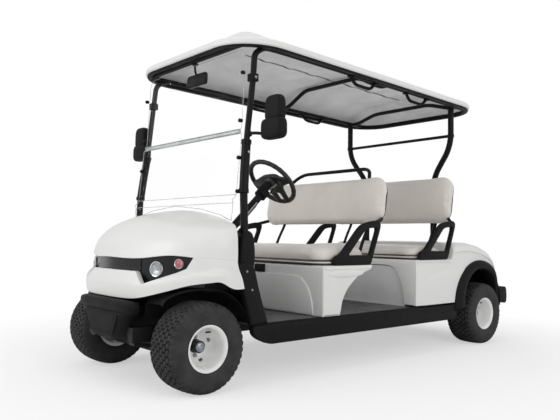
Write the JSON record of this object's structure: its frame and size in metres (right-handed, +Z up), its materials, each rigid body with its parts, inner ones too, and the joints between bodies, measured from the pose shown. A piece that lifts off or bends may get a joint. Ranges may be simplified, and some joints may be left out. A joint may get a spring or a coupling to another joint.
{
  "type": "golf cart",
  "caption": "Electric golf cart with two rows of bench seats under a long roof, a clear windscreen and a domed front cowl.",
  "frame": {"origin": "on the ground, at the middle of the cart's length and width", "axes": "+Z up, +Y towards the rear, +X towards the cart's left side"},
  "size_m": [1.556, 3.21, 1.9825],
  "materials": {
    "white_panel": "gloss",
    "black_plastic": "satin",
    "black_steel": "satin",
    "chassis_steel": "satin",
    "clear_screen": "clear",
    "lamp_lens": "clear",
    "red_lens": "gloss",
    "seat_vinyl": "satin",
    "tyre_rubber": "matte",
    "wheel_paint": "gloss",
    "spring_steel": "satin",
    "battery_case": "satin",
    "floor_rubber": "matte",
    "grip": "satin"
  },
  "bodies": {
    "chassis": {"chassis_frame": "chassis_steel", "floor": "floor_rubber", "sills": "black_plastic", "front_axle": "chassis_steel", "leaf_springs": "spring_steel", "rear_axle": "chassis_steel", "front_cowl": "white_panel", "lamp_band": "black_plastic", "headlamps": "lamp_lens", "turn_signals": "red_lens", "front_bumper": "black_plastic", "front_liners": "black_plastic", "dash_panel": "black_plastic", "post_covers": "black_plastic", "front_struts": "black_steel", "windscreen": "clear_screen", "roof_shell": "white_panel", "roof_frame": "black_steel", "rear_struts": "black_steel", "side_mirrors": "black_plastic", "interior_mirror": "black_plastic", "steering_column": "black_plastic", "pedals": "black_steel", "front_seat_base": "white_panel", "front_backrest": "seat_vinyl", "front_seat_frame": "black_steel", "rear_backrest": "seat_vinyl", "rear_seat_frame": "black_steel", "rear_body": "white_panel", "rear_flares": "black_plastic", "rear_bumper": "black_plastic", "tail_lamps": "red_lens", "battery_pack": "battery_case"},
    "knuckle_left": {"knuckle_left": "chassis_steel"},
    "knuckle_right": {"knuckle_right": "chassis_steel"},
    "tie_rod": {"tie_rod": "chassis_steel"},
    "steering_wheel": {"steering_wheel": "grip"},
    "front_seat_lid": {"front_cushion": "seat_vinyl"},
    "rear_seat_lid": {"rear_cushion": "seat_vinyl"},
    "wheel_front_left": {"tyre_front_left": "tyre_rubber", "rim_front_left": "wheel_paint"},
    "wheel_front_right": {"tyre_front_right": "tyre_rubber", "rim_front_right": "wheel_paint"},
    "wheel_rear_left": {"tyre_rear_left": "tyre_rubber", "rim_rear_left": "wheel_paint"},
    "wheel_rear_right": {"tyre_rear_right": "tyre_rubber", "rim_rear_right": "wheel_paint"}
  },
  "joints": [
    {"name": "steer_left", "type": "hinge", "parent": "chassis", "child": "knuckle_left", "pos_m": [0.4, -1.295, 0.2285], "axis": [0, 0, 1], "range_deg": [-28, 28]},
    {"name": "steer_right", "type": "hinge", "parent": "chassis", "child": "knuckle_right", "pos_m": [-0.4, -1.295, 0.2285], "axis": [0, 0, 1], "range_deg": [-28.5, 28.5]},
    {"name": "tie_rod_slide", "type": "slide", "parent": "chassis", "child": "tie_rod", "axis": [1, 0, 0], "range_m": [-0.048, 0.048]},
    {"name": "steering_wheel_turn", "type": "hinge", "parent": "chassis", "child": "steering_wheel", "pos_m": [0.3, -0.662, 1.113], "axis": [0, 0.7193, 0.6947], "range_deg": [-422, 422]},
    {"name": "spin_front_left", "type": "hinge", "parent": "knuckle_left", "child": "wheel_front_left", "pos_m": [0.482, -1.295, 0.2285], "axis": [1, 0, 0], "continuous": true},
    {"name": "spin_front_right", "type": "hinge", "parent": "knuckle_right", "child": "wheel_front_right", "pos_m": [-0.482, -1.295, 0.2285], "axis": [1, 0, 0], "continuous": true},
    {"name": "spin_rear_left", "type": "hinge", "parent": "chassis", "child": "wheel_rear_left", "pos_m": [0.511, 1.215, 0.2285], "axis": [1, 0, 0], "continuous": true},
    {"name": "spin_rear_right", "type": "hinge", "parent": "chassis", "child": "wheel_rear_right", "pos_m": [-0.511, 1.215, 0.2285], "axis": [1, 0, 0], "continuous": true},
    {"name": "front_seat_hinge", "type": "hinge", "parent": "chassis", "child": "front_seat_lid", "pos_m": [0, -0.52, 0.6203], "axis": [1, 0, 0], "range_deg": [0, 65]},
    {"name": "rear_seat_hinge", "type": "hinge", "parent": "chassis", "child": "rear_seat_lid", "pos_m": [0, 0.365, 0.6423], "axis": [1, 0, 0], "range_deg": [0, 65]}
  ],
  "couplings": [
    {"joint": "steer_right", "follows": "steer_left", "ratio": 1},
    {"joint": "tie_rod_slide", "follows": "steer_left", "m_per_rad": -0.095},
    {"joint": "steering_wheel_turn", "follows": "steer_left", "ratio": 15}
  ]
}
